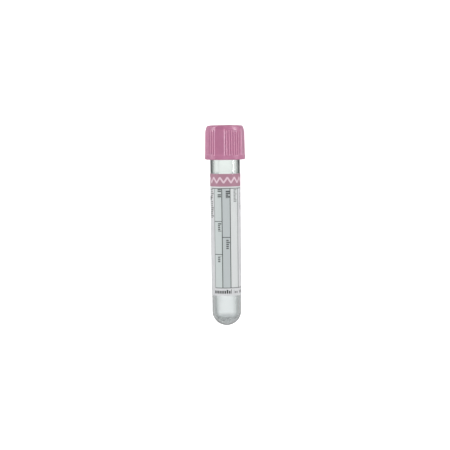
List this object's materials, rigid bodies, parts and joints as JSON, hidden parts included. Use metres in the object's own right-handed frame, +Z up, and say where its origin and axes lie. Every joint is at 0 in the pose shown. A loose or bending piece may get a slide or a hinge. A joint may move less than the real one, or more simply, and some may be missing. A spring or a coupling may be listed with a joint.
{
  "type": "blood collection tube",
  "caption": "Clear round-bottomed tube with a wrapped label, closed by a ribbed pink screw cap that holds a rubber stopper under a retaining ring.",
  "frame": {"origin": "on the bench surface under the middle of the lying tube's bounding box", "axes": "+Y along the lying tube towards the cap, +Z up from the bench, +X to the right seen from the foot. The tube's own axis rises 2.01 degrees from +Y towards the cap."},
  "size_m": [0.0168, 0.0852, 0.0168],
  "materials": {
    "clear_plastic": "clear moulded polyester, polished",
    "label_film": "satin white film with a pink band and grey ruled table",
    "stopper_rubber": "grey butyl rubber, dull",
    "cap_plastic": "dusky pink moulded polyethylene, soft sheen",
    "ring_plastic": "the same pink polyethylene, plain moulded"
  },
  "bodies": {
    "tube_body": {"tube": "clear_plastic", "label": "label_film"},
    "stopper_body": {"stopper": "stopper_rubber"},
    "cap_body": {"cap": "cap_plastic", "cap_ring": "ring_plastic"}
  },
  "joints": [
    {"name": "stopper_lift", "type": "slide", "parent": "tube_body", "child": "stopper_body", "axis": [0, 0.9994, 0.0351], "range_m": [0, 0.024]},
    {"name": "cap_turn", "type": "hinge", "parent": "stopper_body", "child": "cap_body", "pos_m": [0, 0.03536, 0.00863], "axis": [0, 0.9994, 0.0351], "range_deg": [0, 720]}
  ],
  "couplings": [
    {"joint": "stopper_lift", "follows": "cap_turn", "m_per_rad": 0.0019099}
  ]
}
